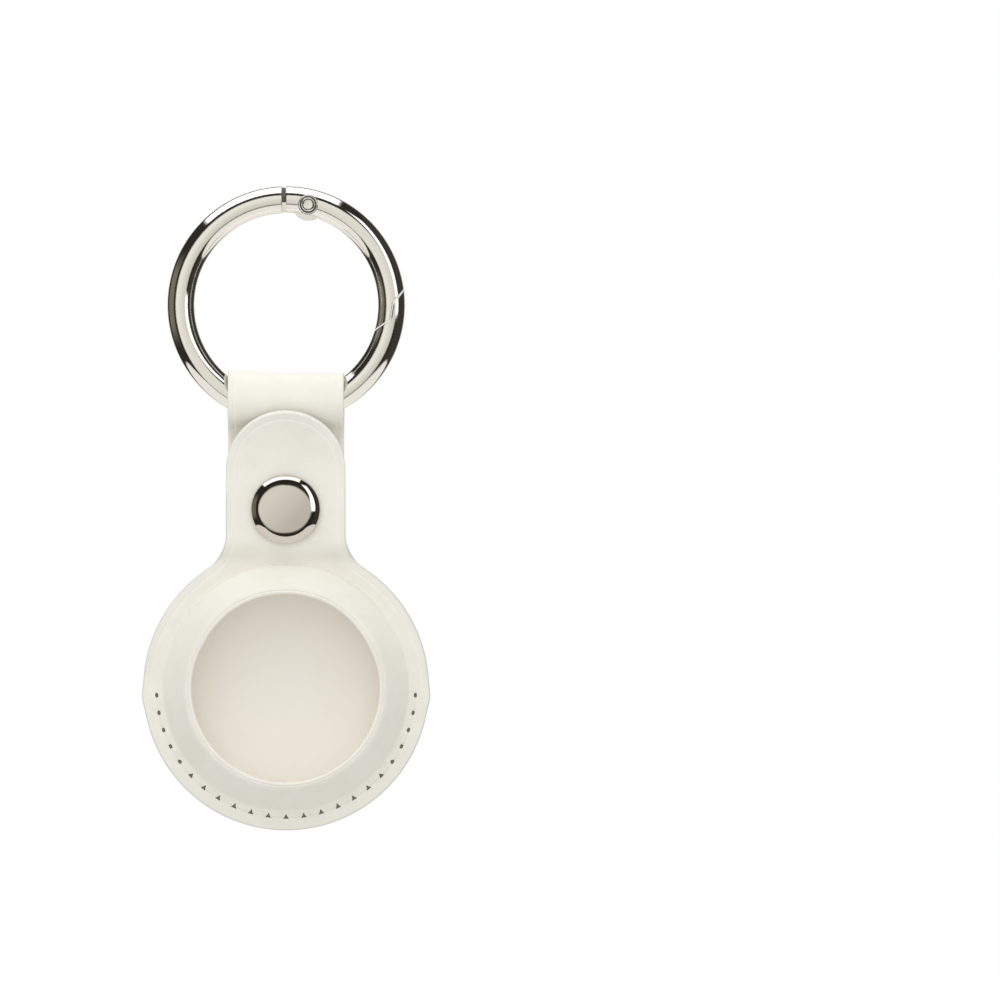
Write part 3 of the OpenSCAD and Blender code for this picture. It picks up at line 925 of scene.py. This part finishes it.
def linear(red, green, blue):
    """A colour as the screen shows it, from 0 to 255, turned into the renderer's values."""
    def one(value):
        value /= 255
        return value / 12.92 if value <= 0.04045 else ((value + 0.055) / 1.055) ** 2.4
    return (one(red), one(green), one(blue), 1)


def material(name):
    made = bpy.data.materials.new(name)
    made.use_nodes = True
    tree = made.node_tree
    return made, tree, tree.nodes["Principled BSDF"]


def leather_material():
    """Ivory leather, faintly clouded and grained, greyer where it is cut. Painted light makes it
    paler along its creases, the tab's tip edge and the window's lip and on its lining, and
    less grey on the cut edges above the snap; painted shade makes it darkest in its holes."""
    made, tree, shader = material("Leather")
    place = add(tree, "TexCoord").outputs["Object"]
    cloud = add(tree, "TexNoise", {"Vector": place, "Scale": 220, "Detail": 3, "Roughness": 0.55})
    grain = add(tree, "TexVoronoi", {"Vector": place, "Scale": 3600, "Randomness": 1})
    fine = add(tree, "TexNoise", {"Vector": place, "Scale": 5200, "Detail": 2, "Roughness": 0.6})
    painted_highlight = calc(tree, "MULTIPLY", attribute(tree, "painted_highlight"), 0.5)
    edge = calc(tree, "MULTIPLY", attribute(tree, "cut_edge_and_lit_fade"), 0.7)
    base = mix(tree, between(tree, cloud.outputs["Fac"], 0.3, 0.7),
               linear(237, 234, 223), linear(241, 238, 228))
    # Painted highlight along the creases, the tab's tip edge and the window's lip
    base = mix(tree, painted_highlight, base, linear(247, 245, 239))
    # Grey cut edges, with less grey above the snap as painted light
    base = mix(tree, edge, base, linear(208, 207, 202))
    # Painted light: the lining is paler, standing in for light that the pocket's hollow shades
    base = mix(tree, attribute(tree, "lining"), base, linear(248, 244, 235))
    # Painted shade: darkest in the holes
    base = mix(tree, attribute(tree, "painted_hole_shade"), base, linear(160, 150, 136))
    tree.links.new(base, shader.inputs["Base Color"])
    shader.inputs["Roughness"].default_value = 0.5
    shader.inputs["Specular IOR Level"].default_value = 0.3
    height = calc(tree, "ADD", grain.outputs["Distance"],
                  calc(tree, "MULTIPLY", fine.outputs["Fac"], 0.5))
    bump = add(tree, "Bump", {"Strength": 0.25, "Distance": 0.00003, "Height": height})
    tree.links.new(bump.outputs["Normal"], shader.inputs["Normal"])
    return made


def metal_material(name, colour, roughness, grain, wave=0, rounded=0, painted_shade_within=None):
    """Bare metal. Grain is how much its roughness varies, wave how high it ripples, rounded
    the radius of its edges. It can be painted dark, as shade, between two places in x, above
    one in z."""
    made, tree, shader = material(name)
    place = add(tree, "TexCoord").outputs["Object"]
    normal = None
    if rounded:
        normal = add(tree, "Bevel", {"Radius": rounded}, samples=4).outputs[0]
    if wave:
        ripple = add(tree, "TexNoise", {"Vector": place, "Scale": 330, "Detail": 2})
        bump = add(tree, "Bump", {"Strength": 1, "Distance": wave, "Height": ripple.outputs["Fac"]})
        if normal:
            tree.links.new(normal, bump.inputs["Normal"])
        normal = bump.outputs["Normal"]
    if normal:
        tree.links.new(normal, shader.inputs["Normal"])
    noise = add(tree, "TexNoise", {"Vector": place, "Scale": 900, "Detail": 3, "Roughness": 0.6})
    shade = add(tree, "MapRange", {
        "Value": noise.outputs["Fac"], "From Min": 0.3, "From Max": 0.7,
        "To Min": roughness, "To Max": roughness + grain})
    tree.links.new(shade.outputs["Result"], shader.inputs["Roughness"])
    shader.inputs["Base Color"].default_value = colour
    shader.inputs["Metallic"].default_value = 1
    if painted_shade_within:
        x, _, z = add(tree, "SeparateXYZ", {"Vector": place}).outputs
        low, high, floor = painted_shade_within
        painted_shade = calc(tree, "MULTIPLY", calc(tree, "GREATER_THAN", x, low),
                    calc(tree, "LESS_THAN", x, high))
        painted_shade = calc(tree, "MULTIPLY", painted_shade, calc(tree, "GREATER_THAN", z, floor))
        # Painted shade: a dark colour on the split's walls
        tree.links.new(mix(tree, painted_shade, colour, linear(92, 90, 84)), shader.inputs["Base Color"])
    return made


def thread_material():
    """Ivory thread, painted dark as shade where it dives into the holes."""
    made, tree, shader = material("Thread")
    place = add(tree, "TexCoord").outputs["Object"]
    noise = add(tree, "TexNoise", {"Vector": place, "Scale": 3000, "Detail": 2})
    base = mix(tree, noise.outputs["Fac"], linear(228, 223, 207), linear(244, 241, 230))
    # Painted shade where the thread dives into the holes
    base = mix(tree, attribute(tree, "painted_hole_shade"), base, linear(150, 140, 126))
    tree.links.new(base, shader.inputs["Base Color"])
    shader.inputs["Roughness"].default_value = 0.6
    bump = add(tree, "Bump", {"Strength": 0.4, "Distance": 0.00004, "Height": noise.outputs["Fac"]})
    tree.links.new(bump.outputs["Normal"], shader.inputs["Normal"])
    return made


# The walls of the split at the gate's tail are painted dark as shade, down to just below the wire's
# middle
split_w = 0.6
split_past = 0.05
split_depth = 2.4
split = ((gate_tail - split_w) * MM, (gate_tail + split_past) * MM,
         (ring_high.z - split_depth) * MM)
leather = leather_material()
chrome = metal_material("Chrome", (0.90, 0.895, 0.88, 1), 0.03, 0.04, wave=0.000006,
                        rounded=0.00025, painted_shade_within=split)
capped = metal_material("Cap_nickel", (0.71, 0.68, 0.645, 1), 0.04, 0.03, wave=0.000004)
# Dark metal that paints shade on the thin plates in the ring's gaps
painted_shade = metal_material("Painted_shade_metal", (0.2, 0.19, 0.18, 1), 0.35, 0.1)
# Dark metal that paints shade into the rivet's sunken rings and round its outline
groove_shade = metal_material("Groove_shade_metal", (0.15, 0.145, 0.135, 1), 0.35, 0.1)
satin = metal_material("Satin_nickel", (0.7, 0.69, 0.67, 1), 0.25, 0.1)
steel = metal_material("Spring_steel", (0.6, 0.6, 0.58, 1), 0.3, 0.1)


def dress(obj, made):
    obj.data.materials.clear()
    obj.data.materials.append(made)


dress(front, leather)
dress(back, leather)
dress(thread, thread_material())
for piece in (front_cap, back_cap):
    dress(piece, capped)
# The rivet's second material paints shade into its sunken bands
for made in (chrome, groove_shade):
    rivet.data.materials.append(made)
# The thin plates take the dark metal that paints shade
for piece in (latch, crown):
    dress(piece, painted_shade)
for made, names in (
    (chrome, ("ring_body", "ring_gate")),
    (satin, ("snap_stud", "snap_socket")),
    (steel, ("gate_spring", "socket_spring")),
):
    for name in names:
        dress(frame["nodes"][name], made)


def studio():
    """White to the camera, soft light on the leather, and a lit set that the metal mirrors."""
    world = bpy.data.worlds.new("Studio")
    bpy.context.scene.world = world
    world.use_nodes = True
    tree = world.node_tree
    tree.nodes.clear()
    way = add(tree, "TexCoord").outputs["Generated"]
    x, y, z = add(tree, "SeparateXYZ", {"Vector": way}).outputs

    def degrees(operation, *values):
        return calc(tree, "DEGREES", calc(tree, operation, *values))

    def band(value, low, high, soft):
        rise = between(tree, value, low - soft, low + soft)
        fall = between(tree, value, high + soft, high - soft)
        return calc(tree, "MULTIPLY", rise, fall)

    def panel(one_way, other_way):
        return calc(tree, "MULTIPLY", band(*one_way), band(*other_way))

    # Angles in degrees: off the front, to its right, above the level, and off straight up
    toward = calc(tree, "MULTIPLY", y, -1)
    off_front = degrees("ARCCOSINE", toward)
    right = degrees("ARCTAN2", x, toward)
    rise = degrees("ARCSINE", z)
    over_x = degrees("ARCTAN2", x, z)
    over_y = degrees("ARCTAN2", y, z)

    # Panels, each between two pairs of angles, with soft edges
    left_wall = panel((right, -116, -62, 4), (rise, -14, 22, 7))
    right_wall = panel((right, 59, 178, 3), (rise, -40, 48, 4))
    strip = panel((right, 37, 59, 1.5), (rise, -3, 45, 2))
    softbox = panel((over_x, -44, 26, 1.5), (over_y, -31, 40, 1.5))

    # The floor, the dark round the camera, the card behind the object and the card at the
    # camera, which is wider to the left and narrower up and down
    floor = between(tree, rise, -27.5, -29.5)
    surround = between(tree, off_front, 45, 43.5)
    rear_card = between(tree, off_front, 144, 148)
    upright = calc(tree, "MULTIPLY", calc(tree, "ABSOLUTE", z), 4)
    leftward = calc(tree, "MULTIPLY", calc(tree, "MINIMUM", x, 0), 7)
    card_edge = calc(tree, "ADD", off_front, calc(tree, "ADD", upright, leftward))
    card = between(tree, card_edge, 40, 37)

    dark = linear(46, 43, 39)
    bright = (1.7, 1.7, 1.68, 1)
    ivory = mix(tree, between(tree, calc(tree, "SUBTRACT", x, z), -0.8, 0.8),
                linear(244, 241, 230), linear(214, 210, 198))
    colour = dark
    for amount, value in (
        (left_wall, linear(120, 115, 100)),
        (right_wall, linear(60, 55, 50)),
        (floor, linear(243, 238, 230)),
        (surround, dark),
        (rear_card, ivory),
        (strip, bright),
        (card, ivory),
        (softbox, (1.6, 1.6, 1.58, 1)),
    ):
        colour = mix(tree, amount, colour, value)

    level = calc(tree, "MULTIPLY_ADD", z, 0.02, 0.74)
    soft = add(tree, "CombineXYZ", {0: level, 1: level, 2: level}).outputs[0]
    path = add(tree, "LightPath")
    colour = mix(tree, path.outputs["Is Glossy Ray"], soft, colour)
    colour = mix(tree, path.outputs["Is Camera Ray"], colour, (1, 1, 1, 1))
    background = add(tree, "Background", {"Color": colour, "Strength": 1})
    add(tree, "OutputWorld", {"Surface": background.outputs[0]})


studio()


def softbox_lamp(name, size, energy, offset):
    """A square lamp aimed at the middle of the disc, which the metal doesn't mirror."""
    data = bpy.data.lights.new(name, "AREA")
    data.size = size
    data.energy = energy
    made = bpy.data.objects.new(name, data)
    aim = Vector((0, 0, disc_z * MM))
    made.location = aim + Vector(offset)
    made.rotation_euler = (aim - made.location).to_track_quat("-Z", "Y").to_euler()
    made.visible_glossy = False
    bpy.context.scene.collection.objects.link(made)


for side, way in (("front", -1), ("back", 1)):
    softbox_lamp("High_" + side, 0.16, 0.09, (-0.02, way * 0.11, 0.27))
    softbox_lamp("Upper_" + side, 0.22, 0.13, (-0.03, way * 0.2, 0.19))
    softbox_lamp("Level_" + side, 0.4, 0.3, (0, way * 0.6, 0.0))

# The camera faces the middle of the photo, which lies to the right of the object
photo_x = 0.03146
photo_z = -0.04219
camera_away = 1.5
camera_data = bpy.data.cameras.new("Camera")
camera_data.sensor_width = 36
camera_data.lens = 367
camera = bpy.data.objects.new("Camera", camera_data)
camera.location = (photo_x, -camera_away, photo_z)
camera.rotation_euler = (math.radians(90), 0, 0)
bpy.context.scene.collection.objects.link(camera)
bpy.context.scene.camera = camera
bpy.context.scene.view_settings.view_transform = "Standard"
